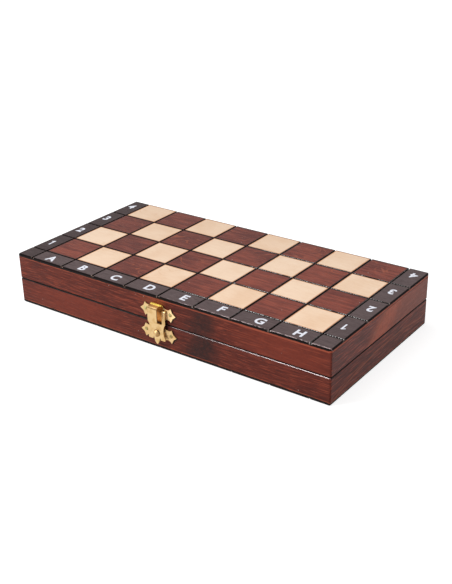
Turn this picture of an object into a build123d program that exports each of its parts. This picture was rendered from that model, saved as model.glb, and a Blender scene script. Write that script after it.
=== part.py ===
from build123d import *
import os
from math import cos, radians, sin

# Folding chess board, closed and lying on its base half. Millimetres, +Z up, +Y towards the hinges.
# The origin is the centre of the case's footprint, on the plane that the case rests on.

# Playing field of one half: squares, and the border on three sides
square_pitch = 30.0
file_count = 8
rank_count = 4
border_width = 15.0
groove_width = 0.9
tile_thickness = 1.2
tile_bevel = 0.3
outer_edge_bevel = 0.8

# Case
case_height = 40.0
parting_gap = 0.3
panel_thickness = 1.8
rail_width = 8.0
corner_radius = 1.2
parting_chamfer = 0.5
lining_thickness = 1.0
lining_clearance = 0.3

# Hinges
hinge_offset = 0.2
hinge_inset = 53.0
leaf_length = 30.0
leaf_width = 7.0
leaf_thickness = 0.8
leaf_clearance = 0.1
knuckle_count = 3
knuckle_radius = 1.9
knuckle_gap = 0.2
knuckle_clearance = 0.35
hinge_pin_radius = 0.8
pin_clearance = 0.05

# Hinge screws
screw_spacing = 19.0
screw_edge_distance = 2.3
screw_head_radius = 1.6
screw_shank_radius = 0.9
screw_length = 9.0
screw_tip_length = 1.8
screw_tip_radius = 0.25

# Fasteners and their holes
fastener_clearance = 0.03
nail_shank_radius = 0.6
nail_head_radius = 1.35
nail_dome_height = 0.25
nail_length = 6.0

# Latch: heights are measured from the middle of the parting gap, and distances out from the front
plate_thickness = 0.7
ear_reach_across = 4.7
ear_reach_up = 5.3
ear_tip_lean = 0.4
ear_valley_reach = 2.8
ear_tip_radius = 0.3
ear_valley_radius = 0.5
ear_root_inset = 0.8
nail_lift = 0.4

# Catch plate on the lid
catch_ear_x = 10.7
catch_ear_height = 8.2
catch_top_height = 15.0
catch_top_half_width = 4.6
catch_shoulder_height = 13.0
catch_scallop_x = 7.7
catch_scallop_height = 11.7
catch_hip_half_width = 6.3
catch_hip_height = 3.1
catch_hip_scallop_x = 8.6
catch_hip_scallop_height = 4.3
catch_foot_half_width = 5.0
catch_foot_height = -0.2
slot_clearance = 0.3

# Thumb strap, bent from the catch plate's top edge and narrower beyond its root
strap_root_reach = 2.6
strap_half_width = 3.95
strap_standout = 6.8
strap_drop = 0.9
strap_foot_height = 2.7
strap_bend_radius = 1.2

# Base plate of the latch
base_ear_x = 10.8
base_ear_height = -7.9
base_top_half_width = 5.6
base_top_height = -3.0
base_scallop_x = 8.6
base_scallop_height = -3.8
base_foot_half_width = 6.2
base_foot_height = -11.6
base_foot_scallop_x = 8.6
base_foot_scallop_height = -11.2
rib_radius = 1.25
rib_inner_x = 3.1
rib_length = 2.4
rocking_clearance = 0.05

# Rocking fork
pivot_height = -7.1
fork_thickness = 0.8
fork_arm_inner = 4.85
fork_arm_outer = 7.65
fork_shoulder_height = 0.9
fork_crotch_height = 0.5
fork_crotch_radius = 1.0
fork_waist_half_width = 5.85
fork_waist_height = -3.8
fork_lobe_half_width = 7.45
fork_lobe_height = -10.2
fork_lobe_slant = 0.25
fork_lobe_radius = 0.6
fork_foot_height = -11.8
fork_notch_outer = 3.4
fork_notch_middle = 2.75
fork_notch_depth = 1.7
tail_half_width = 2.2
tail_shoulder_x = 1.75
tail_shoulder_height = -13.3
tail_tip_height = -15.5
tail_tip_radius = 0.55
hook_under_height = 10.0
hook_play = 0.3
hook_wood_gap = 0.15
hook_bend_radius = 0.9

# Rivet, and the leaf spring whose ends are measured from the rivet's axis
rivet_radius = 1.0
rivet_hole_radius = 1.4
rivet_head_radius = 2.6
rivet_head_height = 1.8
rivet_head_gap = 0.45
spring_half_width = 2.0
spring_thickness = 0.25
spring_rise = 2.1
spring_bend_drop = 2.8
spring_drop = 6.1
spring_bend_radius = 3.0
spring_tip_gap = 0.02

# Sizes and places that follow from the ones above
board_length = file_count * square_pitch + 2 * border_width
board_depth = rank_count * square_pitch + border_width
half_height = (case_height - parting_gap) / 2
mid_z = case_height / 2
panel_floor_z = tile_thickness + panel_thickness
front_y = -board_depth / 2
rear_y = board_depth / 2
hinge_centre_x = board_length / 2 - hinge_inset
hinge_y = rear_y + hinge_offset
leaf_front_y = hinge_y - leaf_width
screw_y = leaf_front_y + screw_edge_distance
fork_back = plate_thickness + rib_radius + rocking_clearance
fork_front = fork_back + fork_thickness

mid_plane = Plane.XY.offset(mid_z)
front_plane = Plane(origin=(0, front_y, mid_z), x_dir=(1, 0, 0), z_dir=(0, -1, 0))


def span_box(x_span, y_span, z_span):
    """Box between the two ends given on each axis."""
    low = (x_span[0], y_span[0], z_span[0])
    size = (x_span[1] - x_span[0], y_span[1] - y_span[0], z_span[1] - z_span[0])
    return Pos(*low) * Box(*size, align=(Align.MIN, Align.MIN, Align.MIN))


def rod_along_x(radius, x_span, y, z):
    """Cylinder along X between two places."""
    length = x_span[1] - x_span[0]
    middle = (x_span[0] + x_span[1]) / 2
    return Pos(middle, y, z) * Rot(0, 90, 0) * Cylinder(radius, length)


def for_lid(shape):
    """The lid's copy of a shape that was drawn on the base half."""
    return mirror(shape, about=mid_plane)


def both_sides(shape):
    """A shape drawn at +X, and its mirror image at -X."""
    return [shape, mirror(shape, about=Plane.YZ)]


def footprint_prism(z_span):
    """The case's outline with rounded corners, between two heights."""
    outline = RectangleRounded(board_length, board_depth, corner_radius)
    return Pos(0, 0, z_span[0]) * extrude(outline, z_span[1] - z_span[0])


def grid_lines(start, count, border_at_end):
    """Edges of the tiles along one side: a border strip, the squares, and a second border if it has one."""
    lines = [start, start + border_width]
    for _ in range(count):
        lines.append(lines[-1] + square_pitch)
    if border_at_end:
        lines.append(lines[-1] + border_width)
    return lines


def tile_span(lines, index):
    """One tile's span between two lines, set back by half a groove where another tile lies beside it."""
    low = lines[index]
    high = lines[index + 1]
    if index > 0:
        low += groove_width / 2
    if index + 1 < len(lines) - 1:
        high -= groove_width / 2
    return low, high


def outer_bevel_slab():
    """The playing face's thickness with its three outer edges bevelled; the hinge edge stays square."""
    reach = 2 * border_width
    outline = Pos(0, reach / 2) * RectangleRounded(board_length, board_depth + reach, corner_radius)
    slab = extrude(outline, tile_thickness)
    slab = chamfer(slab.faces().sort_by(Axis.Z)[0].edges(), outer_edge_bevel)
    return slab & footprint_prism((0, tile_thickness))


def playing_tiles(dark_parity):
    """Light squares, dark squares and border tiles of one half, lying at its outer face."""
    x_lines = grid_lines(-board_length / 2, file_count, True)
    y_lines = grid_lines(front_y, rank_count, False)
    slab = outer_bevel_slab()
    tiles = {"light_squares": [], "dark_squares": [], "border_tiles": []}
    for column in range(len(x_lines) - 1):
        for row in range(len(y_lines) - 1):
            tile = span_box(tile_span(x_lines, column), tile_span(y_lines, row), (0, tile_thickness))
            tile = chamfer(tile.faces().sort_by(Axis.Z)[0].edges(), tile_bevel)
            on_side = column in (0, len(x_lines) - 2)
            if on_side or row == 0:
                tiles["border_tiles"].append(tile & slab)
            elif (column - 1 + row - 1) % 2 == dark_parity:
                tiles["dark_squares"].append(tile)
            else:
                tiles["light_squares"].append(tile)
    return tiles


def rail_frame():
    """The four rails in one piece, with their outer parting edges chamfered."""
    block = footprint_prism((panel_floor_z, half_height))
    block = chamfer(block.faces().sort_by(Axis.Z)[-1].edges(), parting_chamfer)
    cavity = Pos(0, 0, mid_z) * Box(
        board_length - 2 * rail_width, board_depth - 2 * rail_width, case_height
    )
    return block - cavity


def mitred_rails():
    """Front, right, rear and left rail, cut from the frame along the mitres at its corners."""
    frame = rail_frame()
    half_x = board_length / 2
    half_y = board_depth / 2
    outer = [(-half_x, -half_y), (half_x, -half_y), (half_x, half_y), (-half_x, half_y)]
    inner = [
        (x - rail_width * x / abs(x), y - rail_width * y / abs(y))
        for x, y in outer
    ]
    rails = {}
    for index, side in enumerate(("front", "right", "rear", "left")):
        after = (index + 1) % 4
        wedge = Polygon(outer[index], outer[after], inner[after], inner[index], align=None)
        rails[side] = frame & extrude(wedge, case_height)
    return rails


def knuckle_spans(centre_x):
    """Spans of one hinge's knuckles, with a gap between neighbours."""
    knuckle_length = (leaf_length - (knuckle_count - 1) * knuckle_gap) / knuckle_count
    spans = []
    for index in range(knuckle_count):
        low = centre_x - leaf_length / 2 + index * (knuckle_length + knuckle_gap)
        spans.append((low, low + knuckle_length))
    return spans


def screw_places(centre_x):
    """The two screw positions of one leaf, along X."""
    return centre_x - screw_spacing / 2, centre_x + screw_spacing / 2


def countersunk_screw(x, clearance):
    """Screw driven down into the base rail; with a clearance, the hole that it needs."""
    head_radius = screw_head_radius + clearance
    shank_radius = screw_shank_radius + clearance
    shank_length = screw_length - leaf_thickness - screw_tip_length
    head = Pos(0, 0, -leaf_thickness / 2) * Cone(shank_radius, head_radius, leaf_thickness)
    shank = Pos(0, 0, -leaf_thickness - shank_length / 2) * Cylinder(shank_radius, shank_length)
    tip_z = -screw_length + screw_tip_length / 2
    tip = Pos(0, 0, tip_z) * Cone(screw_tip_radius + clearance, shank_radius, screw_tip_length)
    return Pos(x, screw_y, half_height) * (head + shank + tip)


def hinge_leaf(centre_x, own_knuckles):
    """Leaf of the base half: a plate let into the rail, and the knuckles that it carries."""
    edge = (centre_x - leaf_length / 2, centre_x + leaf_length / 2)
    leaf = span_box(edge, (leaf_front_y, hinge_y), (half_height - leaf_thickness, half_height))
    for index, span in enumerate(knuckle_spans(centre_x)):
        if index in own_knuckles:
            leaf += rod_along_x(knuckle_radius, span, hinge_y, mid_z)
        else:
            relief = (span[0] - knuckle_gap, span[1] + knuckle_gap)
            leaf -= rod_along_x(knuckle_radius + knuckle_clearance, relief, hinge_y, mid_z)
    leaf -= rod_along_x(hinge_pin_radius + pin_clearance, edge, hinge_y, mid_z)
    for x in screw_places(centre_x):
        leaf -= countersunk_screw(x, fastener_clearance)
    return leaf


def hinge_seat(centre_x):
    """What one hinge cuts out of the base's rear rail: leaf mortise, knuckle groove and screw holes."""
    mortise_x = (
        centre_x - leaf_length / 2 - leaf_clearance,
        centre_x + leaf_length / 2 + leaf_clearance,
    )
    mortise_y = (leaf_front_y - leaf_clearance, hinge_y + knuckle_radius)
    seat = span_box(mortise_x, mortise_y, (half_height - leaf_thickness, case_height))
    seat += rod_along_x(knuckle_radius + knuckle_clearance, mortise_x, hinge_y, mid_z)
    for x in screw_places(centre_x):
        seat += countersunk_screw(x, fastener_clearance)
    return seat


def star_ear(centre_x, centre_height):
    """Right-hand ear of a latch plate: a four-pointed star with hollow sides."""
    points = []
    for step in range(8):
        reach_x = reach_up = ear_valley_reach
        lean = 0
        if step in (0, 4):
            reach_x = ear_reach_across
        elif step in (2, 6):
            reach_up = ear_reach_up
            lean = ear_tip_lean
        angle = radians(45 * step)
        points.append((centre_x + lean + reach_x * cos(angle), centre_height + reach_up * sin(angle)))
    star = Polygon(*points, align=None)
    for step, place in enumerate(points):
        corner = star.vertices().sort_by_distance(place)[0]
        star = fillet(corner, ear_valley_radius if step % 2 else ear_tip_radius)
    return star


def scalloped_plate(foot_line, foot_scallop, ear, top_scallop, top_line):
    """Outline of a latch plate: its foot and top lines, and a scallop from each to the ear's tips."""
    low_root = (ear[0], ear[1] - ear_reach_up + ear_root_inset)
    high_root = (ear[0], ear[1] + ear_reach_up - ear_root_inset)
    foot_middle = (0, foot_line[0][1])
    top_middle = (0, top_line[-1][1])
    edge = Polyline(foot_middle, *foot_line)
    edge += ThreePointArc(foot_line[-1], foot_scallop, low_root)
    edge += Line(low_root, high_root)
    edge += ThreePointArc(high_root, top_scallop, top_line[0])
    edge += Polyline(*top_line, top_middle, foot_middle)
    right_half = make_face(edge) + star_ear(*ear)
    return right_half + mirror(right_half, about=Plane.YZ)


def bent_strip(points, radius, thickness, x_span):
    """Strip of sheet metal that follows a bent line, given as distances out from the front and heights."""
    plane = Plane(origin=(x_span[1], front_y, mid_z), x_dir=(0, -1, 0), z_dir=(-1, 0, 0))
    middle_line = FilletPolyline(*points, radius=radius)
    section = trace(middle_line, line_width=thickness)
    return extrude(plane * section, x_span[1] - x_span[0])


def sheet_on_front(outline, distance_out, thickness):
    """Flat sheet parallel to the front, its back at the given distance out."""
    return extrude(front_plane.offset(distance_out) * outline, thickness)


def on_front(x, height, distance_out):
    """Placement on the front face with local +Z pointing out of it."""
    return front_plane.offset(distance_out) * Pos(x, height, 0)


def dome(radius, height):
    """Cap of a sphere standing on the XY plane."""
    sphere_radius = (radius**2 + height**2) / (2 * height)
    ball = Pos(0, 0, height - sphere_radius) * Sphere(sphere_radius)
    return ball & Cylinder(2 * radius, height, align=(Align.CENTER, Align.CENTER, Align.MIN))


def nail(clearance):
    """Nail along -Z with a sunk, slightly domed head; with a clearance, the hole that it needs."""
    head_radius = nail_head_radius + clearance
    shank_radius = nail_shank_radius + clearance
    head = Pos(0, 0, -plate_thickness / 2) * Cone(shank_radius, head_radius, plate_thickness)
    shank = Pos(0, 0, -plate_thickness - nail_length / 2) * Cylinder(shank_radius, nail_length)
    return head + shank


def nails_at(ear_x, ear_height):
    """The two nails of one latch plate."""
    body = nail(0) + dome(nail_head_radius, nail_dome_height)
    return both_sides(on_front(ear_x, ear_height + nail_lift, plate_thickness) * body)


def nail_holes(ear_x, ear_height):
    """The holes of one plate's two nails, through the plate and into the rail."""
    return both_sides(on_front(ear_x, ear_height + nail_lift, plate_thickness) * nail(fastener_clearance))


def hook_slots():
    """Slots in the catch plate for the fork's bent tips, with play under the tips."""
    x_span = (fork_arm_inner - slot_clearance, fork_arm_outer + slot_clearance)
    low = mid_z + hook_under_height - hook_play
    high = mid_z + hook_under_height + fork_thickness + slot_clearance
    return both_sides(span_box(x_span, (front_y - plate_thickness, front_y), (low, high)))


def thumb_strap():
    """Strap bent out and down from the catch plate's top, its root as wide as the plate's top there."""
    middle = plate_thickness / 2
    leg = strap_standout - middle
    top = catch_top_height - middle
    root_drop = strap_drop * (strap_root_reach - middle) / (leg - middle)
    root_line = [(middle, hook_under_height), (middle, top), (strap_root_reach, top - root_drop)]
    strap_line = [*root_line[:2], (leg, top - strap_drop), (leg, strap_foot_height)]
    root_span = (-catch_top_half_width, catch_top_half_width)
    strap_span = (-strap_half_width, strap_half_width)
    root = bent_strip(root_line, strap_bend_radius, plate_thickness, root_span)
    return root + bent_strip(strap_line, strap_bend_radius, plate_thickness, strap_span)


def catch_plate():
    """Plate on the lid that the fork hooks into, with the thumb strap bent from its top edge."""
    outline = scalloped_plate(
        [(catch_foot_half_width, catch_foot_height), (catch_hip_half_width, catch_hip_height)],
        (catch_hip_scallop_x, catch_hip_scallop_height),
        (catch_ear_x, catch_ear_height),
        (catch_scallop_x, catch_scallop_height),
        [(catch_top_half_width, catch_shoulder_height)],
    )
    plate = sheet_on_front(outline, 0, plate_thickness) + thumb_strap()
    return plate.cut(*hook_slots(), *nail_holes(catch_ear_x, catch_ear_height))


def latch_base_plate():
    """Plate on the base half with the two half-round ribs that the fork rocks on."""
    outline = scalloped_plate(
        [(base_foot_half_width, base_foot_height)],
        (base_foot_scallop_x, base_foot_scallop_height),
        (base_ear_x, base_ear_height),
        (base_scallop_x, base_scallop_height),
        [(base_top_half_width, base_top_height)],
    )
    plate = sheet_on_front(outline, 0, plate_thickness)
    rib_span = (rib_inner_x, rib_inner_x + rib_length)
    rib = rod_along_x(rib_radius, rib_span, front_y - plate_thickness, mid_z + pivot_height)
    for side in both_sides(split(rib, bisect_by=front_plane, keep=Keep.TOP)):
        plate += side
    bore = rivet_bore(rivet_radius + fastener_clearance)
    return plate.cut(bore, *nail_holes(base_ear_x, base_ear_height))


def rivet_bore(radius):
    """Bore along the rivet's axis, through every sheet of the latch."""
    return on_front(0, pivot_height, 0) * Cylinder(radius, 2 * strap_standout)


def round_corners(outline, x, height, radius):
    """Round the outline's corner at a place and its mirror image at -X."""
    corners = [outline.vertices().sort_by_distance((side * x, height))[0] for side in (-1, 1)]
    return fillet(corners[: 1 if x == 0 else 2], radius)


def fork_outline():
    """The fork's flat outline: two arms, a hollow waist, a fishtail and the pointed tail."""
    arm_top = hook_under_height - hook_bend_radius
    lobe_foot_x = fork_lobe_half_width - fork_lobe_slant
    shoulder = (fork_arm_outer, fork_shoulder_height)
    lobe = (fork_lobe_half_width, fork_lobe_height)
    tail_root = (tail_half_width, fork_foot_height)
    crotch_middle = (0, fork_crotch_height)
    tip = (0, tail_tip_height)
    edge = Polyline(
        crotch_middle,
        (fork_arm_inner, fork_crotch_height),
        (fork_arm_inner, arm_top),
        (fork_arm_outer, arm_top),
        shoulder,
    )
    edge += ThreePointArc(shoulder, (fork_waist_half_width, fork_waist_height), lobe)
    edge += Polyline(
        lobe,
        (lobe_foot_x, fork_foot_height),
        (fork_notch_outer, fork_foot_height),
        (fork_notch_middle, fork_foot_height + fork_notch_depth),
        tail_root,
    )
    edge += ThreePointArc(tail_root, (tail_shoulder_x, tail_shoulder_height), tip)
    edge += Line(tip, crotch_middle)
    right_half = make_face(edge)
    outline = right_half + mirror(right_half, about=Plane.YZ)
    outline = round_corners(outline, fork_arm_inner, fork_crotch_height, fork_crotch_radius)
    outline = round_corners(outline, lobe_foot_x, fork_foot_height, fork_lobe_radius)
    return round_corners(outline, 0, tail_tip_height, tail_tip_radius)


def hasp_fork():
    """Rocking fork: flat sheet with the tips of its two arms bent back into the catch plate."""
    fork = sheet_on_front(fork_outline(), fork_back, fork_thickness)
    middle = (fork_back + fork_front) / 2
    hook_height = hook_under_height + fork_thickness / 2
    hook = bent_strip(
        [(middle, fork_shoulder_height), (middle, hook_height), (hook_wood_gap, hook_height)],
        hook_bend_radius,
        fork_thickness,
        (fork_arm_inner, fork_arm_outer),
    )
    for side in both_sides(hook):
        fork += side
    return fork - rivet_bore(rivet_hole_radius)


def latch_rivet():
    """Rivet with a domed head that keeps the fork on the base plate."""
    shank_length = fork_front + rivet_head_gap
    shank = Cylinder(rivet_radius, shank_length, align=(Align.CENTER, Align.CENTER, Align.MIN))
    head = Pos(0, 0, shank_length) * dome(rivet_head_radius, rivet_head_height)
    return on_front(0, pivot_height, 0) * (shank + head)


def latch_spring():
    """Leaf spring under the rivet; its foot presses on the fork's tail from behind."""
    flat = plate_thickness + spring_thickness / 2
    foot = fork_back - spring_tip_gap - spring_thickness / 2
    spring = bent_strip(
        [
            (flat, pivot_height + spring_rise),
            (flat, pivot_height - spring_bend_drop),
            (foot, pivot_height - spring_drop),
        ],
        spring_bend_radius,
        spring_thickness,
        (-spring_half_width, spring_half_width),
    )
    return spring - rivet_bore(rivet_radius + fastener_clearance)


def build_half(name, place, dark_parity, ear_x, ear_height, own_knuckles):
    """One half of the case as named nodes: rails, panel, tiles, lining, hinge leaves and screws."""
    nodes = {}
    for kind, tiles in playing_tiles(dark_parity).items():
        nodes[f"{name}_{kind}"] = [place(tile) for tile in tiles]
    nodes[f"{name}_panel"] = place(footprint_prism((tile_thickness, panel_floor_z)))
    lining_margin = rail_width + lining_clearance
    lining = span_box(
        (lining_margin - board_length / 2, board_length / 2 - lining_margin),
        (front_y + lining_margin, rear_y - lining_margin),
        (panel_floor_z, panel_floor_z + lining_thickness),
    )
    nodes[f"{name}_lining"] = place(lining)
    rails = {side: place(rail) for side, rail in mitred_rails().items()}
    rails["front"] = rails["front"].cut(*nail_holes(ear_x, ear_height))
    screws = []
    for side, centre_x in (("left", -hinge_centre_x), ("right", hinge_centre_x)):
        rails["rear"] -= place(hinge_seat(centre_x))
        nodes[f"{name}_hinge_leaf_{side}"] = place(hinge_leaf(centre_x, own_knuckles))
        screws += [place(countersunk_screw(x, 0)) for x in screw_places(centre_x)]
    for side, rail in rails.items():
        nodes[f"{name}_{side}_rail"] = rail
    nodes[f"{name}_hinge_screws"] = screws
    return nodes


def build_nodes():
    """Every node of the board, by name; a list is a group of separate solids."""
    nodes = {}
    nodes.update(build_half("base", lambda shape: shape, 1, base_ear_x, base_ear_height, (0, 2)))
    nodes.update(build_half("lid", for_lid, 0, catch_ear_x, catch_ear_height, (1,)))
    for side, centre_x in (("left", -hinge_centre_x), ("right", hinge_centre_x)):
        edge = (centre_x - leaf_length / 2, centre_x + leaf_length / 2)
        nodes[f"hinge_pin_{side}"] = rod_along_x(hinge_pin_radius, edge, hinge_y, mid_z)
    nodes["catch_plate"] = catch_plate()
    nodes["catch_plate_nails"] = nails_at(catch_ear_x, catch_ear_height)
    nodes["latch_base_plate"] = latch_base_plate()
    nodes["latch_base_nails"] = nails_at(base_ear_x, base_ear_height)
    nodes["latch_rivet"] = latch_rivet()
    nodes["latch_spring"] = latch_spring()
    nodes["hasp_fork"] = hasp_fork()
    return nodes


os.makedirs("parts", exist_ok=True)
for node, shape in build_nodes().items():
    pieces = shape if isinstance(shape, list) else [shape]
    solids = [solid for piece in pieces for solid in piece.solids()]
    export_step(Compound(children=solids), f"parts/{node}.step")
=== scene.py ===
"""Folding wooden chess board with a brass latch: finishes, lettering, linings, light and camera.

Lengths in the frame are metres. Finishes work in millimetres, from each piece's own coordinates.
"""

import logging
import math
from dataclasses import dataclass, field, replace
from enum import Enum
from typing import Union

import bmesh
import bpy
from mathutils import Matrix, Vector


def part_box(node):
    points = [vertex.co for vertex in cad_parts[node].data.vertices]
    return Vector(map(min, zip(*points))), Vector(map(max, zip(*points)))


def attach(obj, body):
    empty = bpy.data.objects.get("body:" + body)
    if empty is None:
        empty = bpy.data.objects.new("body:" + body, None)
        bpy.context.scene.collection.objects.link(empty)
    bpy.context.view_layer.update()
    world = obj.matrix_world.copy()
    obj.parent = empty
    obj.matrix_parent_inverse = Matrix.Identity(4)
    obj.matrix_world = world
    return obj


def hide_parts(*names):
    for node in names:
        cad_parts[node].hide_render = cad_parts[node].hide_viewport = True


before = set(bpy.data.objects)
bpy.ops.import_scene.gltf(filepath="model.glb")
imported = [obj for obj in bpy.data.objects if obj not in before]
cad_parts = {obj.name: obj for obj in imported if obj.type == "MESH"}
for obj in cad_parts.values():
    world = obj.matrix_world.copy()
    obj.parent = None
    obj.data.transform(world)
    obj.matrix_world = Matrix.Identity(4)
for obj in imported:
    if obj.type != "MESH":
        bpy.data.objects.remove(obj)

MM = 0.001
SHADE_AND_STAIN = "shade_and_stain"
Material = bpy.types.Material
Mesh = bpy.types.Mesh
Piece = bpy.types.Object
Tree = bpy.types.NodeTree
Value = Union[float, "Term"]
Colour = tuple[float, float, float]
Triple = tuple[float, float, float]
Spot = tuple[float, float]
Span = tuple[float, float]
log = logging.getLogger("chess_board")


class Body(str, Enum):
    """The bodies that pieces ride on."""

    BASE = "base"
    LID = "lid"
    HASP = "hasp"


class Slot(str, Enum):
    """The record's material slots that new pieces take their finish from."""

    BRASS = "brass"
    NAIL = "nail_steel"
    FELT = "felt"


class Grain(Enum):
    """The direction that the wood's fibres run in."""

    ALONG_FRONT = "x"
    ALONG_SIDE = "y"


def srgb(*levels: int) -> Colour:
    """Linear colour of a display colour.

    Args:
        *levels: Red, green and blue as displayed, from 0 to 255.

    Returns:
        The linear colour that a shader needs.
    """
    shares = [level / 255 for level in levels]
    return tuple(share / 12.92 if share <= 0.04045 else ((share + 0.055) / 1.055) ** 2.4 for share in shares)


DUST = srgb(206, 196, 188)


class Term:
    """An output of a node. Arithmetic with it adds math nodes that are linked to it."""

    def __init__(self, graph: "Graph", socket: bpy.types.NodeSocket) -> None:
        """Hold an output and the graph that it is in."""
        self.graph = graph
        self.socket = socket

    def __add__(self, other: Value) -> "Term":
        """Sum."""
        return self.graph.math("ADD", self, other)

    def __sub__(self, other: Value) -> "Term":
        """Difference."""
        return self.graph.math("SUBTRACT", self, other)

    def __rsub__(self, other: float) -> "Term":
        """Difference from a number."""
        return self.graph.math("SUBTRACT", other, self)

    def __mul__(self, other: Value) -> "Term":
        """Product."""
        return self.graph.math("MULTIPLY", self, other)

    def __truediv__(self, other: Value) -> "Term":
        """Quotient."""
        return self.graph.math("DIVIDE", self, other)

    def __abs__(self) -> "Term":
        """Size without its sign."""
        return self.graph.math("ABSOLUTE", self)

    def smaller(self, other: Value) -> "Term":
        """The smaller of two values."""
        return self.graph.math("MINIMUM", self, other)

    def larger(self, other: Value) -> "Term":
        """The larger of two values, which joins two masks."""
        return self.graph.math("MAXIMUM", self, other)

    def sine(self) -> "Term":
        """Sine of an angle in radians."""
        return self.graph.math("SINE", self)

    def step(self, low: float, high: float) -> "Term":
        """Smooth step from 0 at low to 1 at high."""
        inputs = {"Value": self, "From Min": low, "From Max": high}
        return self.graph.add("ShaderNodeMapRange", inputs, interpolation_type="SMOOTHSTEP")

    def spread(self, low: float, high: float) -> "Term":
        """Stretch 0 to 1 onto low to high."""
        return self.graph.add("ShaderNodeMapRange", {"Value": self, "To Min": low, "To Max": high})

    def split(self) -> tuple["Term", ...]:
        """X, Y and Z of a vector, or the three parts of a colour."""
        node = self.graph.put("ShaderNodeSeparateXYZ", {0: self})
        return tuple(Term(self.graph, output) for output in node.outputs)

    def scaled(self, *factors: float) -> "Term":
        """A vector with each axis times its own factor."""
        return self.graph.add("ShaderNodeVectorMath", {0: self, 1: factors}, operation="MULTIPLY")

    def noise(self, scale: float = 1.0, detail: float = 2.0, distortion: float = 0.0) -> "Term":
        """Smooth noise around 0.5, read at this vector."""
        inputs = {"Vector": self, "Scale": scale, "Detail": detail, "Distortion": distortion}
        return self.graph.add("ShaderNodeTexNoise", inputs, "Fac")


class Graph:
    """Adds nodes to one node tree and links them."""

    def __init__(self, tree: Tree) -> None:
        """Work on a tree."""
        self.tree = tree

    def put(self, kind: str, inputs: dict[str | int, Value], **settings: object) -> bpy.types.Node:
        """Add a node.

        Args:
            kind: The node's type name.
            inputs: Values for its inputs, by name or number.
            **settings: Properties of the node.

        Returns:
            The new node.
        """
        node = self.tree.nodes.new(kind)
        for name, setting in settings.items():
            setattr(node, name, setting)
        for name, value in inputs.items():
            self.feed(node.inputs[name], value)
        return node

    def feed(self, socket: bpy.types.NodeSocket, value: Value | Colour) -> None:
        """Set or link an input.

        Args:
            socket: The input.
            value: A term to link, a number, or a colour or vector.
        """
        if isinstance(value, Term):
            self.tree.links.new(value.socket, socket)
        elif socket.type == "RGBA":
            socket.default_value = (*value, 1.0)
        else:
            socket.default_value = value

    def add(
        self, kind: str, inputs: dict[str | int, Value], output: str | int = 0, **settings: object
    ) -> Term:
        """Add a node and take one of its outputs, by name or number."""
        return Term(self, self.put(kind, inputs, **settings).outputs[output])

    def outputs(
        self, kind: str, inputs: dict[str | int, Value] | None = None, **settings: object
    ) -> dict[str, Term]:
        """Add a node and take all its outputs, by name."""
        node = self.put(kind, inputs or {}, **settings)
        return {output.name: Term(self, output) for output in node.outputs}

    def math(self, operation: str, *values: Value) -> Term:
        """Result of a math node."""
        return self.add("ShaderNodeMath", dict(enumerate(values)), operation=operation)

    def join(self, x: Value, y: Value, z: Value) -> Term:
        """Vector of three values."""
        return self.add("ShaderNodeCombineXYZ", {0: x, 1: y, 2: z})

    def mix(self, share: Value, first: Term | Colour, second: Term | Colour, blend: str = "MIX") -> Term:
        """Mix two colours, from the first at a share of 0 to the second at 1."""
        inputs = {0: share, 6: first, 7: second}
        return self.add("ShaderNodeMix", inputs, 2, data_type="RGBA", blend_type=blend, clamp_factor=True)


@dataclass(frozen=True)
class CasePlan:
    """Layout of the squares and of the closed case, in millimetres."""

    pitch: float = 30.0
    left: float = -120.0
    front: float = -52.5
    front_edge: float = -67.5
    half_length: float = 135.0
    middle_height: float = 20.0
    height: float = 40.0

    def from_middle(self, z: Term) -> Term:
        """Distance up or down from the parting line."""
        return abs(z - self.middle_height)

    def inwards(self, x: Term, y: Term) -> Term:
        """Distance inwards from the nearest outer face."""
        return (self.half_length - abs(x)).smaller(-self.front_edge - abs(y))


PLAN = CasePlan()


class EffectGroup:
    """A shader node group in the making, which is read at a position."""

    def __init__(self, name: str, *numbers: str) -> None:
        """Start a group.

        Args:
            name: The group's name.
            *numbers: Names of its inputs besides Position.
        """
        self.tree = bpy.data.node_groups.new(name, "ShaderNodeTree")
        self.tree.interface.new_socket("Position", in_out="INPUT", socket_type="NodeSocketVector")
        for number in numbers:
            self.tree.interface.new_socket(number, in_out="INPUT", socket_type="NodeSocketFloat")
        self.graph = Graph(self.tree)
        self.given = self.graph.outputs("NodeGroupInput")
        self.place = self.given["Position"]

    def publish(self, results: dict[str, Term]) -> Tree:
        """Make the group's outputs.

        Args:
            results: Each output's value, by its name.

        Returns:
            The finished group.
        """
        for name in results:
            self.tree.interface.new_socket(name, in_out="OUTPUT", socket_type="NodeSocketFloat")
        self.graph.put("NodeGroupOutput", results)
        return self.tree


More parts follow.
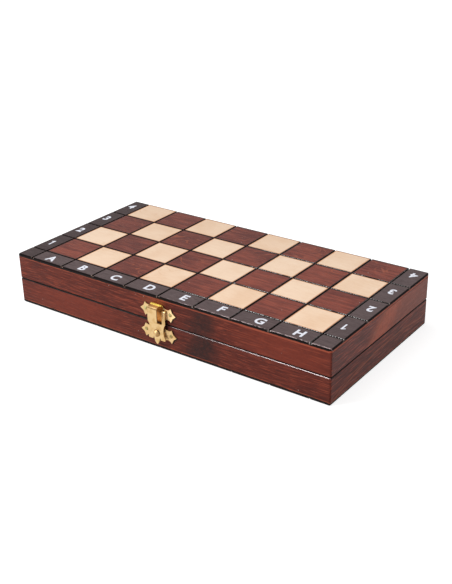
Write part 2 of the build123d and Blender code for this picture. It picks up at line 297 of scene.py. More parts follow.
@dataclass(frozen=True)
class WoodFigure:
    """Fibres, growth bands, curls and pores of wood whose grain runs along its X, packed per millimetre."""

    seed_shift: Triple = (317.0, 191.0, 83.0)
    drift: Triple = (0.012, 0.05, 0.05)
    streaks: Triple = (0.04, 0.55, 0.55)
    fibres: Triple = (0.13, 2.1, 2.1)
    wander: Triple = (0.014, 0.09, 0.09)
    wander_turns: float = 2.6
    band_lean: float = 0.6
    swirl: Triple = (0.026, 0.06, 0.06)
    swirl_rings: float = 62.0
    ring_crests: Span = (0.72, 1.0)
    pores: Triple = (0.3, 3.6, 3.6)
    pore_peaks: Span = (0.6, 0.72)
    pore_depth: float = 0.8

    def build(self) -> Tree:
        """Make the group.

        Returns:
            A group with the outputs Streaks, Fibres, Bands, Curls, Pores and Height.
        """
        effect = EffectGroup("wood_figure", "Seed", "Band Pitch", "Bend")
        graph = effect.graph
        shift = graph.join(*(effect.given["Seed"] * distance for distance in self.seed_shift))
        place = graph.add("ShaderNodeVectorMath", {0: effect.place, 1: shift}, operation="ADD")
        x, y, z = place.split()
        bent_y = place.scaled(*self.drift).noise() * effect.given["Bend"] + y
        bent = graph.join(x, bent_y, z)
        fibres = bent.scaled(*self.fibres).noise(detail=4.0)
        pores = bent.scaled(*self.pores).noise(detail=1.0).step(*self.pore_peaks)
        wander = place.scaled(*self.wander).noise(detail=3.0) * self.wander_turns
        turns = wander + (bent_y + z * self.band_lean) / effect.given["Band Pitch"]
        swirl = place.scaled(*self.swirl).noise(detail=1.0, distortion=0.7)
        return effect.publish({
            "Streaks": bent.scaled(*self.streaks).noise(detail=4.0),
            "Fibres": fibres,
            "Bands": (turns * math.tau).sine() * 0.5 + 0.5,
            "Curls": (swirl * self.swirl_rings).sine().step(*self.ring_crests),
            "Pores": pores,
            "Height": fibres - pores * self.pore_depth,
        })


@dataclass(frozen=True)
class TileLayout:
    """Which tile a place is on, and how near it is to a groove or to the board's edge, in millimetres."""

    run_out_width: Span = (1.9, 0.7)
    run_out_depth: Span = (1.5, 0.5)
    dash_rate: float = 3.3
    dash_wander: float = 9.0
    dash_share: Span = (-0.2, 0.4)
    dash_patches: Span = (0.36, 0.5)
    dashes_from: Span = (-10.0, 25.0)

    def build(self) -> Tree:
        """Make the group.

        Returns:
            A group with two random numbers for each tile, the distances, a mask of the places where grooves
            run out at the edge, and a mask of the dashes of light along worn edges.
        """
        effect = EffectGroup("tile_layout")
        graph = effect.graph
        x, y, z = effect.place.split()
        column = (x - PLAN.left) / PLAN.pitch
        row = (y - PLAN.front) / PLAN.pitch
        half = graph.math("GREATER_THAN", z, PLAN.middle_height)
        cell = graph.join(graph.math("FLOOR", column), graph.math("FLOOR", row), half)
        red, green, _ = graph.add("ShaderNodeTexWhiteNoise", {"Vector": cell}, "Color").split()
        to_column, to_row = [graph.math("PINGPONG", turns, 0.5) * PLAN.pitch for turns in (column, row)]
        side = PLAN.half_length - abs(x)
        front = y - PLAN.front_edge
        at_front = to_column.step(*self.run_out_width) * front.step(*self.run_out_depth)
        at_side = to_row.step(*self.run_out_width) * side.step(*self.run_out_depth)
        phase = effect.place.noise(0.5, 1.0) * self.dash_wander + x * self.dash_rate
        patches = effect.place.noise(0.12).step(*self.dash_patches)
        return effect.publish({
            "Random A": red,
            "Random B": green,
            "Groove Distance": to_column.smaller(to_row),
            "Edge Distance": side.smaller(front),
            "Groove End": at_front.larger(at_side),
            "Glints": phase.sine().step(*self.dash_share) * patches * x.step(*self.dashes_from),
        })


@dataclass(frozen=True)
class MetalWear:
    """Tarnish in patches, rubbed scratches and the unevenness of pressed sheet, packed per millimetre."""

    tarnish: float = 0.28
    tarnish_patches: Span = (0.42, 0.7)
    up_down: Triple = (5.5, 5.5, 0.35)
    up_down_share: Span = (0.6, 0.72)
    slanted: Triple = (0.6, 2.0, 6.5)
    slanted_share: Span = (0.66, 0.76)
    unevenness: float = 0.9
    scratch_depth: float = 0.12

    def build(self) -> Tree:
        """Make the group.

        Returns:
            A group with the outputs Tarnish, Scratches and Height.
        """
        effect = EffectGroup("metal_wear", "Amount")
        place = effect.place
        up_down = place.scaled(*self.up_down).noise().step(*self.up_down_share)
        slanted = place.scaled(*self.slanted).noise(distortion=0.4).step(*self.slanted_share)
        scratches = up_down.larger(slanted)
        tarnish = place.noise(self.tarnish, 5.0).step(*self.tarnish_patches)
        return effect.publish({
            "Tarnish": tarnish * effect.given["Amount"],
            "Scratches": scratches,
            "Height": place.noise(self.unevenness) - scratches * self.scratch_depth,
        })


@dataclass(frozen=True)
class DustSpecks:
    """Sparse pale specks of dust, about half a millimetre wide and packed per millimetre."""

    packing: float = 0.16
    radius: Span = (0.075, 0.035)
    chosen: Span = (0.68, 0.74)

    def build(self) -> Tree:
        """Make the group.

        Returns:
            A group with the output Specks.
        """
        effect = EffectGroup("dust_specks")
        spots = {"Vector": effect.place, "Scale": self.packing}
        cells = effect.graph.outputs("ShaderNodeTexVoronoi", spots)
        chosen = cells["Color"].split()[0].step(*self.chosen)
        return effect.publish({"Specks": cells["Distance"].step(*self.radius) * chosen})


class Effects:
    """The effects that several finishes share, each made once."""

    def __init__(self) -> None:
        """Make every group."""
        self.wood = WoodFigure().build()
        self.tiles = TileLayout().build()
        self.wear = MetalWear().build()
        self.dust = DustSpecks().build()


class Surface:
    """A material in the making: its graph, its shader, its colour so far and the piece's coordinates."""

    def __init__(self, name: str, **constants: float) -> None:
        """Start a material.

        Args:
            name: The material's name.
            **constants: Plain values for the shader's inputs, with _ for a blank.
        """
        self.material = bpy.data.materials.new(name)
        self.material.use_nodes = True
        self.graph = Graph(self.material.node_tree)
        self.shader = self.material.node_tree.nodes["Principled BSDF"]
        self.position = self.graph.add("ShaderNodeTexCoord", {}, "Object").scaled(*(1 / MM,) * 3)
        self.colour: Term | None = None
        for socket_name, value in constants.items():
            self.shader.inputs[socket_name.replace("_", " ")].default_value = value

    def effect(self, tree: Tree, **inputs: Value) -> dict[str, Term]:
        """Outputs of a shared effect, read at the piece's own coordinates unless Position is given."""
        named = {name.replace("_", " "): value for name, value in inputs.items()}
        return self.graph.outputs("ShaderNodeGroup", {"Position": self.position, **named}, node_tree=tree)

    def start(self, share: Term, first: Colour, second: Colour) -> None:
        """Begin with a mix of two colours."""
        self.colour = self.graph.mix(share, first, second)

    def lay(self, colour: Colour | Term, mask: Value, blend: str = "MIX") -> None:
        """Lay a colour over the surface where a mask is."""
        self.colour = self.graph.mix(mask, self.colour, colour, blend)

    def finish(self, roughness: Term, height: Term, relief_mm: float, polish: Term | None = None) -> Material:
        """Connect the shader.

        Args:
            roughness: Roughness of the shader, from 0 to 1.
            height: Height over the surface, about 0 to 1.
            relief_mm: Depth that the height stands for.
            polish: Coat weight where the finish is rubbed glossy, if it is anywhere.

        Returns:
            The material.
        """
        bump = self.graph.add("ShaderNodeBump", {"Height": height, "Distance": relief_mm * MM})
        results = {"Base Color": self.colour, "Roughness": roughness, "Normal": bump}
        if polish is not None:
            results["Coat Weight"] = polish
        for name, result in results.items():
            self.graph.feed(self.shader.inputs[name], result)
        return self.material


@dataclass(frozen=True)
class Finish:
    """What every finish has: the shared effects and a name."""

    effects: Effects
    name: str


@dataclass(frozen=True)
class SquareVeneer(Finish):
    """Veneer of the squares, with a scorched line along each saw groove, in millimetres.

    The light gains are painted light: they say how much brighter it gets with each millimetre to the right
    and to the front.
    """

    pale: Colour
    deep: Colour
    curl: Colour
    scorch: Colour
    burnt: Colour = srgb(26, 16, 15)
    dust: float = 0.0
    band_pitch: float = 5.5
    bend: float = 14.0
    scorch_reach: Span = (1.9, 0.9)
    groove_reach: Span = (1.02, 0.82)
    glint_reach: Span = (0.82, 0.74)
    curl_strength: float = 0.42
    pore_strength: float = 0.3
    curl_share: float = 0.5
    streak_strength: float = 0.5
    fibre_strength: float = 0.3
    cloud_strength: float = 0.3
    light_gain_right: float = 0.0
    light_gain_front: float = 0.0
    specular: float = 0.15
    relief: float = 0.035

    def build(self) -> Material:
        """Make the material.

        Returns:
            The material.
        """
        surface = Surface(self.name, Specular_IOR_Level=self.specular, Coat_Roughness=0.22)
        place = surface.position
        tiles = surface.effect(self.effects.tiles)
        seed = tiles["Random A"] * 7.0
        wood = surface.effect(self.effects.wood, Seed=seed, Band_Pitch=self.band_pitch, Bend=self.bend)
        shade = wood["Streaks"].step(0.36, 0.66) * self.streak_strength
        shade += wood["Fibres"].step(0.38, 0.66) * self.fibre_strength
        shade += place.noise(0.035).step(0.36, 0.66) * self.cloud_strength
        surface.start(tiles["Random B"] * 0.25 + shade * 0.8, self.pale, self.deep)
        x, y, _ = place.split()
        # Painted light: the veneer gets brighter towards the right and the front.
        light_gain = x * self.light_gain_right - y * self.light_gain_front + 1.0
        surface.lay(surface.graph.join(light_gain, light_gain, light_gain), 1.0, "MULTIPLY")
        curly = tiles["Random A"].step(1.0 - self.curl_share, 1.05 - self.curl_share)
        curls = wood["Curls"] * curly * place.noise(0.07, 1.0).step(0.42, 0.6)
        surface.lay(self.curl, curls * self.curl_strength)
        surface.lay(self.deep, wood["Pores"] * self.pore_strength)
        to_groove = tiles["Groove Distance"]
        ragged = place.noise(1.1, 3.0) * 0.7 - 0.35
        surface.lay(self.scorch, (to_groove + ragged).step(*self.scorch_reach))
        surface.lay(self.burnt, to_groove.step(*self.groove_reach))
        surface.lay(DUST, surface.effect(self.effects.dust)["Specks"] * self.dust)
        polish = to_groove.step(*self.glint_reach) * tiles["Glints"]
        return surface.finish(wood["Height"].spread(0.36, 0.52), wood["Height"], self.relief, polish)


@dataclass(frozen=True)
class BorderVeneer(Finish):
    """Dark border veneer, black on its bevels and chipped where the grooves run out, with a painted highlight
    along its front rim, in millimetres.
    """

    pale: Colour = srgb(103, 89, 89)
    deep: Colour = srgb(79, 67, 67)
    black: Colour = srgb(22, 17, 17)
    chip_and_glint: Colour = srgb(190, 162, 150)
    painted_highlight: Colour = srgb(156, 124, 124)
    black_margin: float = 0.9
    shaded_up_to: float = -120.0
    left_shade_strength: float = 0.42
    groove_reach: Span = (0.96, 0.76)
    rim_from: Span = (0.4, 0.52)
    rim_to: Span = (0.98, 0.84)
    painted_highlight_strength: float = 0.7
    relief: float = 0.03

    def build(self) -> Material:
        """Make the material.

        Returns:
            The material.
        """
        surface = Surface(self.name, Specular_IOR_Level=0.02, Coat_Roughness=0.2)
        x, y, _ = surface.position.split()
        tiles = surface.effect(self.effects.tiles)
        wood = surface.effect(self.effects.wood, Seed=tiles["Random A"] * 5.0, Band_Pitch=4.0, Bend=14.0)
        shade = tiles["Random B"] * 0.25 + wood["Fibres"].step(0.36, 0.68)
        surface.start(shade * 0.75, self.pale, self.deep)
        # Painted shade: the border is darker at its left end.
        left_shade = x.step(self.shaded_up_to + 1.0, self.shaded_up_to - 1.0)
        surface.lay(self.black, left_shade * self.left_shade_strength)
        surface.lay(self.black, wood["Pores"] * 0.4)
        surface.lay(self.black, tiles["Edge Distance"].step(self.black_margin, self.black_margin - 0.4))
        groove = tiles["Groove Distance"].step(*self.groove_reach)
        surface.lay(self.black, groove)
        grit = surface.position.noise(1.7)
        splinters = tiles["Groove End"] * grit.step(0.54, 0.64)
        # Pale specks along the grooves are painted glints; the splinters where the grooves run out are
        # chipped wood.
        surface.lay(self.chip_and_glint, (groove * grit.step(0.6, 0.66) * 0.35).larger(splinters))
        # Painted highlight: a pinkish rim along the front edge, towards the right, with a little coat there
        # as well.
        in_front = y - PLAN.front_edge
        rim = in_front.step(*self.rim_from) * in_front.step(*self.rim_to)
        rim *= surface.position.noise(0.35).step(0.3, 0.6) * x.step(-10.0, 40.0)
        surface.lay(self.painted_highlight, rim * self.painted_highlight_strength)
        polish = (groove * tiles["Glints"] * 0.9).larger(rim * 0.3)
        return surface.finish(wood["Height"].spread(0.36, 0.52), wood["Height"], self.relief, polish)


@dataclass(frozen=True)
class Blush:
    """A stretch of rail with another colour: its middle, reach and lean, in millimetres."""

    along: float
    height: float
    reach: float
    rise: float
    lean: float
    colour: Colour
    strength: float

    def mask(self, along: Term, z: Term, place: Term) -> Term:
        """Soft uneven mask.

        Args:
            along: Distance along the rail.
            z: Height.
            place: Position for its unevenness.

        Returns:
            The mask, from 0 to a little over the blush's strength.
        """
        up = z - self.height
        wobble = place.noise(0.11, 3.0) * 0.9 - 0.45
        run = abs((along - self.along - up * self.lean) / self.reach) + wobble
        lift = abs(up / self.rise) + wobble
        grained = place.noise(0.4, 3.0).spread(0.4 * self.strength, 1.6 * self.strength)
        return run.step(1.3, 0.2) * lift.step(1.25, 0.5) * grained


@dataclass(frozen=True)
class Glow:
    """A thin arched line of lighter wood along a rail, in millimetres."""

    start: float
    start_height: float
    end: float
    end_height: float
    rise: float
    width: float
    colour: Colour
    strength: float

    def mask(self, along: Term, z: Term, place: Term) -> Term:
        """Thin mask of the line.

        Args:
            along: Distance along the rail.
            z: Height.
            place: Position for its unevenness.

        Returns:
            The mask, from 0 to the glow's strength.
        """
        length = self.end - self.start
        run = along - self.start
        share = run / length
        chord = run * ((self.end_height - self.start_height) / length) + self.start_height
        hump = share * (1.0 - share) * (4 * self.rise)
        wobble = place.noise(0.06) * 1.6 - 0.8
        off = abs(z - (chord + hump + wobble))
        ends = share.step(-0.05, 0.12) * share.step(1.05, 0.88)
        return off.step(self.width, self.width * 0.25) * ends * self.strength


@dataclass(frozen=True)
class RailWood(Finish):
    """Stained solid wood of one rail, with a glossy bevel that carries a painted highlight, and its dark
    seam, in millimetres.
    """

    grain: Grain
    seed: float = 0.0
    pale: Colour = srgb(134, 62, 47)
    base: Colour = srgb(112, 48, 37)
    deep: Colour = srgb(72, 32, 28)
    seam: Colour = srgb(20, 10, 9)
    glint: Colour = srgb(172, 84, 62)
    painted_highlight: Colour = srgb(176, 120, 124)
    patches: tuple[Blush | Glow, ...] = ()
    coarseness: float = 0.72
    contrast: float = 0.75
    specular: float = 0.115
    seam_reach: float = 1.0
    seam_depth: Span = (1.1, 0.75)
    bevel_from: Span = (0.34, 0.42)
    bevel_to: Span = (0.74, 0.66)
    highlight_from: float | None = None
    painted_highlight_strength: float = 0.8
    dust: float = 0.5
    relief: float = 0.05

    def build(self) -> Material:
        """Make the material.

        Returns:
            The material.
        """
        surface = Surface(self.name, Specular_IOR_Level=self.specular, Coat_Roughness=0.16)
        x, y, z = surface.position.split()
        along, across = (x, y) if self.grain is Grain.ALONG_FRONT else (y, x)
        place = surface.graph.join(along, z, across)
        coarse = place.scaled(*(self.coarseness,) * 3)
        wood = surface.effect(self.effects.wood, Position=coarse, Seed=self.seed, Band_Pitch=2.0, Bend=3.0)
        share = wood["Streaks"].step(0.36, 0.62).spread(0.5 - self.contrast / 2, 0.5 + self.contrast / 2)
        surface.start(share, self.pale, self.base)
        surface.lay(self.deep, place.scaled(0.016, 0.06, 0.06).noise().step(0.44, 0.64) * 0.5)
        surface.lay(self.deep, wood["Bands"].step(0.35, 0.95) * 0.2)
        surface.lay(self.deep, wood["Fibres"].step(0.44, 0.62) * (0.75 * self.contrast))
        surface.lay(self.glint, wood["Fibres"].step(0.45, 0.33) * (0.85 * self.contrast))
        surface.lay(self.deep, wood["Pores"] * 0.75)
        for patch in self.patches:
            surface.lay(patch.colour, patch.mask(along, z, surface.position))
        from_middle = PLAN.from_middle(z)
        seam = from_middle.step(self.seam_reach, self.seam_reach - 0.4)
        surface.lay(self.seam, seam * PLAN.inwards(x, y).step(*self.seam_depth))
        surface.lay(DUST, surface.effect(self.effects.dust)["Specks"] * self.dust)
        polish = None
        # Painted highlight: a pinkish band on the bevel towards the right, which is also where the coat makes
        # it glossy.
        if self.highlight_from is not None:
            polish = from_middle.step(*self.bevel_from) * from_middle.step(*self.bevel_to)
            polish *= along.step(self.highlight_from, self.highlight_from + 17.0)
            polish *= along.step(20.0, 130.0).spread(0.35, 1.0) * self.painted_highlight_strength
            surface.lay(self.painted_highlight, polish)
        return surface.finish(wood["Height"].spread(0.34, 0.5), wood["Height"], self.relief, polish)


@dataclass(frozen=True)
class PanelWood(Finish):
    """Panel under the tiles: red-brown at its edge, burnt where the saw grooves reach it, in millimetres."""

    pale: Colour = srgb(140, 74, 56)
    deep: Colour = srgb(82, 40, 34)
    burnt: Colour = srgb(30, 20, 19)
    joint: Colour = srgb(52, 26, 22)
    worn: Colour = srgb(184, 92, 68)
    joint_from: float = 17.3
    burnt_from: float = 17.6
    outer_skin: Span = (0.12, 0.2)
    lighter_from: Span = (-25.0, 70.0)
    relief: float = 0.04

    def build(self) -> Material:
        """Make the material.

        Returns:
            The material.
        """
        surface = Surface(self.name, Specular_IOR_Level=0.1)
        x, y, z = surface.position.split()
        wood = surface.effect(self.effects.wood, Seed=2.3, Band_Pitch=3.0, Bend=8.0)
        surface.start(wood["Streaks"].step(0.35, 0.68), self.pale, self.deep)
        surface.lay(self.burnt, PLAN.inwards(x, y).step(*self.outer_skin))
        from_middle = PLAN.from_middle(z)
        lighter = x.step(*self.lighter_from) * z.step(PLAN.middle_height, PLAN.middle_height + 1.0)
        surface.lay(self.worn, wood["Fibres"].step(0.4, 0.6).larger(lighter) * 0.8)
        at_right = x.step(PLAN.half_length - 2.0, PLAN.half_length - 1.0)
        surface.lay(self.joint, from_middle.step(self.joint_from + 0.3, self.joint_from) * at_right * 0.8)
        ragged = surface.position.noise(0.5, 3.0) * 0.5 - 0.25
        burnt = from_middle + ragged - lighter * 0.45 - at_right * 0.5
        surface.lay(self.burnt, burnt.step(self.burnt_from, self.burnt_from + 0.2))
        return surface.finish(wood["Height"].spread(0.4, 0.6), wood["Height"], self.relief)


@dataclass(frozen=True)
class Tint:
    """A box with soft walls, in millimetres, inside which a metal has another colour, painted in as light or
    shade.
    """

    x_span: Span
    y_span: Span
    z_span: Span
    soft: float
    colour: Colour
    strength: float

    def mask(self, position: Term) -> Term:
        """Mask of the box.

        Args:
            position: The piece's own coordinates.

        Returns:
            The mask, from 0 to the tint's strength.
        """
        mask = self.strength
        for axis, (low, high) in zip(position.split(), (self.x_span, self.y_span, self.z_span)):
            mask = axis.step(low - self.soft, low + self.soft) * mask
            mask *= axis.step(high + self.soft, high - self.soft)
        return mask


@dataclass(frozen=True)
class SheetMetal(Finish):
    """Pressed or turned metal with tarnish and scratches."""

    bright: Colour
    dull: Colour
    scratch: Colour
    tarnish: float
    roughness: float
    shade_and_stain: Colour = srgb(128, 82, 36)
    tints: tuple[Tint, ...] = ()
    scratch_strength: float = 0.35
    dulling: float = 0.2
    rubbing: float = 0.06
    relief: float = 0.02

    def build(self) -> Material:
        """Make the material.

        Returns:
            The material.
        """
        surface = Surface(self.name, Metallic=1.0)
        wear = surface.effect(self.effects.wear, Amount=self.tarnish)
        surface.start(wear["Tarnish"], self.bright, self.dull)
        surface.lay(self.scratch, wear["Scratches"] * self.scratch_strength)
        # Boxes of painted light and shade, where a piece has any.
        for tint in self.tints:
            surface.lay(tint.colour, tint.mask(surface.position))
        # Brown from each face's attribute: painted shade on heads, tarnish and painted shade on cut walls.
        surface.lay(self.shade_and_stain, surface.graph.add("ShaderNodeAttribute", {}, "Fac", attribute_name=SHADE_AND_STAIN))
        roughness = wear["Tarnish"] * self.dulling - wear["Scratches"] * self.rubbing + self.roughness
        return surface.finish(roughness, wear["Height"], self.relief)


@dataclass(frozen=True)
class Baize(Finish):
    """Green wool baize with a short nap."""

    deep: Colour = srgb(18, 74, 46)
    pale: Colour = srgb(44, 116, 74)
    nap_depth: float = 0.25

    def build(self) -> Material:
        """Make the material.

        Returns:
            The material.
        """
        surface = Surface(self.name, Specular_IOR_Level=0.15, Sheen_Weight=0.35, Sheen_Roughness=0.5)
        nap = surface.position.noise(2.6, 4.0, 1.2)
        brushed = surface.position.scaled(0.05, 0.02, 0.05).noise()
        surface.start((brushed * 0.5 + nap * 0.6).step(0.3, 0.85), self.deep, self.pale)
        return surface.finish(nap.spread(0.85, 1.0), nap, self.nap_depth)


@dataclass(frozen=True)
class MarkPaint(Finish):
    """White printing ink of the letters and numerals."""

    ink: Colour = srgb(232, 234, 244)
    thin: Colour = srgb(176, 172, 180)
    worn: Span = (0.52, 0.75)
    worn_strength: float = 0.6
    relief: float = 0.01

    def build(self) -> Material:
        """Make the material.

        Returns:
            The material.
        """
        surface = Surface(self.name, Specular_IOR_Level=0.4)
        grain = surface.position.scaled(0.7, 4.5, 4.5).noise(detail=3.0)
        surface.start(grain.step(*self.worn) * self.worn_strength, self.ink, self.thin)
        return surface.finish(grain.spread(0.4, 0.6), grain, self.relief)


@dataclass
class Finishes:
    """Every material of the board, made once."""

    effects: Effects = field(default_factory=Effects)

    def __post_init__(self) -> None:
        """Make the materials."""
        self.light = SquareVeneer(
            self.effects, "light_veneer", pale=srgb(242, 215, 189), deep=srgb(222, 182, 146),
            curl=srgb(214, 168, 128), scorch=srgb(210, 138, 88), curl_share=0.2, streak_strength=0.08,
            fibre_strength=0.26, cloud_strength=0.42, light_gain_right=0.0005, light_gain_front=0.0008,
        ).build()
        self.dark = SquareVeneer(
            self.effects, "dark_veneer", pale=srgb(142, 71, 55), deep=srgb(92, 42, 35),
            curl=srgb(170, 92, 64), scorch=srgb(74, 38, 32), curl_share=0.7, streak_strength=0.7,
            fibre_strength=0.55, cloud_strength=0.4, light_gain_right=0.0013, light_gain_front=0.0019,
            specular=0.085, dust=0.6,
        ).build()
        # Dark film laid under the latch plates: a painted shadow of each plate on the wood.
        self.shadow_film = SquareVeneer(
            self.effects, "painted_shadow_film", pale=srgb(64, 30, 24), deep=srgb(38, 18, 15),
            curl=srgb(64, 30, 24), scorch=srgb(38, 18, 15),
        ).build()
        self.border = BorderVeneer(self.effects, "border_veneer").build()
        self.panel = PanelWood(self.effects, "panel_wood").build()
        brass = SheetMetal(
            self.effects, "brass", bright=srgb(215, 184, 134), dull=srgb(196, 158, 98),
            scratch=srgb(230, 206, 160), tarnish=0.6, roughness=0.42,
        )
        self.brass = brass.build()
        # The catch plate's brass carries boxes of painted light and shade.
        self.catch_brass = replace(brass, name="catch_brass", tints=self.catch_light_and_shade()).build()
        self.nail = SheetMetal(
            self.effects, "nail_steel", bright=srgb(190, 184, 128), dull=srgb(132, 116, 72),
            scratch=srgb(206, 204, 166), tarnish=0.9, roughness=0.4,
        ).build()
        self.baize = Baize(self.effects, "baize").build()
        self.paint = MarkPaint(self.effects, "mark_paint").build()

    @staticmethod
    def catch_light_and_shade() -> tuple[Tint, ...]:
        """Painted light and shade of the catch plate: shade in the recess under the strap, highlights on the
        star's right arm and the strap's root bend, and shade on the strap's top.

        Returns:
            The tints, in the order in which they lie over each other.
        """
        recess = {"x_span": (-5.2, 4.9), "y_span": (-73.2, -67.0)}
        strap = (-5.2, 5.2)
        return (
            # Painted shade in the recess under the strap: orange-brown, darker in a band near its top and
            # nearly black at its foot.
            Tint(**recess, z_span=(20.6, 33.4), soft=0.5, colour=srgb(184, 117, 46), strength=0.9),
            Tint(**recess, z_span=(28.0, 31.0), soft=1.2, colour=srgb(104, 62, 26), strength=0.6),
            Tint(**recess, z_span=(18.0, 21.6), soft=0.6, colour=srgb(40, 22, 12), strength=0.7),
            # Painted highlight on the star's right arm.
            Tint((6.6, 18.0), (-70.0, -66.0), (22.0, 36.0), 0.4, srgb(252, 222, 168), 0.85),
            # Painted highlight on the strap's root bend.
            Tint((-6.0, 6.0), (-70.9, -67.0), (33.3, 36.0), 0.3, srgb(255, 226, 104), 0.9),
            # Painted shade: a brown line across the strap's top, and a darker top rounding that tones down
            # its highlight.
            Tint(strap, (-73.3, -70.9), (33.9, 36.0), 0.3, srgb(166, 112, 52), 0.85),
            Tint(strap, (-74.6, -73.2), (32.9, 34.6), 0.3, srgb(148, 118, 80), 0.9),
        )

    def rails(self) -> dict[str, RailWood]:
        """The wood of each rail.

        Returns:
            The finishes by the end of the rail's node name.
        """
        dark_patch = srgb(52, 32, 30)
        orange = srgb(158, 84, 56)
        rose = srgb(158, 82, 62)
        flame = srgb(184, 92, 66)
        ruddy = srgb(140, 62, 46)
        painted_gap_shadow = srgb(16, 8, 7)
        front = RailWood(self.effects, "front_wood", Grain.ALONG_FRONT)
        side = RailWood(self.effects, "side_wood", Grain.ALONG_SIDE, seam_reach=0.85)
        woods = {
            "lid_front": replace(front, seed=1.1, patches=(
                Blush(36.0, 28.0, 13.0, 22.0, 0.5, dark_patch, 0.75),
                Blush(104.0, 28.0, 42.0, 60.0, 0.0, ruddy, 0.6),
                Blush(-4.0, 36.0, 12.0, 3.5, 0.0, orange, 0.5),
                # Painted shadow on the wood behind the fork's arm, between the two plates.
                Blush(6.8, 21.0, 1.6, 2.4, 0.0, painted_gap_shadow, 0.95),
            )),
            "base_front": replace(front, seed=1.9, highlight_from=-5.0, patches=(
                Blush(-76.0, 11.0, 50.0, 60.0, 0.0, ruddy, 0.6),
                Blush(36.0, 11.0, 15.0, 22.0, 0.3, dark_patch, 0.85),
                # Painted shadow on the wood behind the fork's arm, between the two plates.
                Blush(6.9, 18.6, 1.5, 3.0, 0.0, painted_gap_shadow, 0.95),
            )),
            "lid_right": replace(
                side, seed=2.7, pale=srgb(142, 60, 45), base=srgb(112, 46, 36), contrast=1.0, patches=(
                    Blush(38.0, 30.0, 40.0, 40.0, 0.6, rose, 0.6),
                    Blush(2.0, 28.0, 19.0, 30.0, 1.3, flame, 0.85),
                    Blush(-9.0, 28.0, 2.2, 30.0, 1.3, orange, 0.7),
                )
            ),
            "base_right": replace(side, seed=3.1, contrast=1.0, specular=0.08, patches=(
                Glow(-68.0, 1.5, 60.0, 8.0, 7.0, 0.9, orange, 0.65),
                Glow(-68.0, 4.0, -20.0, 12.0, 1.5, 0.6, orange, 0.5),
            )),
            "lid_left": replace(side, seed=3.7),
            "base_left": replace(side, seed=4.3),
            "lid_rear": replace(front, seed=4.9),
            "base_rear": replace(front, seed=5.3),
        }
        return {f"{place}_rail": replace(wood, name=f"{place}_wood") for place, wood in woods.items()}


def shown(name: str, data: Mesh | bpy.types.Curve) -> Piece:
    """Object at the origin that shows a mesh or a curve.

    Args:
        name: The object's name.
        data: What it shows.

    Returns:
        The object, in the scene.
    """
    piece = bpy.data.objects.new(name, data)
    bpy.context.scene.collection.objects.link(piece)
    return piece


def shown_shape(name: str, shape: bmesh.types.BMesh) -> Piece:
    """Object at the origin that shows a shape.

    Args:
        name: The object's name.
        shape: Its form, which is used up.

    Returns:
        The object, in the scene.
    """
    mesh = bpy.data.meshes.new(name)
    shape.to_mesh(mesh)
    shape.free()
    return shown(name, mesh)


def worked_out(piece: Piece) -> Mesh:
    """Plain mesh of an object, with its modifiers or its text worked out."""
    bpy.context.view_layer.update()
    return bpy.data.meshes.new_from_object(piece.evaluated_get(bpy.context.evaluated_depsgraph_get()))


def hand_over(
    piece: Piece, material: Material, body: Body, node: str | None = None
) -> None:
    """Give a finished piece its material and its body, and hide the CAD node that it stands for.

    Args:
        piece: The piece, which has no modifiers left.
        material: Its material.
        body: The body that it rides on.
        node: The CAD node that it replaces, if it replaces one.
    """
    piece.data.materials.clear()
    piece.data.materials.append(material)
    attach(piece, body.value)
    if node is not None:
        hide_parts(node)
    log.info("%s has %d faces", piece.name, len(piece.data.polygons))


@dataclass
class CasePieces:
    """The case's own pieces that keep their shape and get their finish here."""

    finishes: Finishes

    def dress(self) -> None:
        """Give every piece of wood and metal its material."""
        by_ending = {
            "light_squares": self.finishes.light,
            "dark_squares": self.finishes.dark,
            "border_tiles": self.finishes.border,
            "panel": self.finishes.panel,
            "nails": self.finishes.nail,
        }
        for ending, rail in self.finishes.rails().items():
            by_ending[ending] = rail.build()
        for name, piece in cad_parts.items():
            material = self.finishes.brass
            for ending, finish in by_ending.items():
                if name.endswith(ending):
                    material = finish
            for slot in piece.material_slots:
                slot.material = material
            log.info("%s is finished in %s", name, material.name)


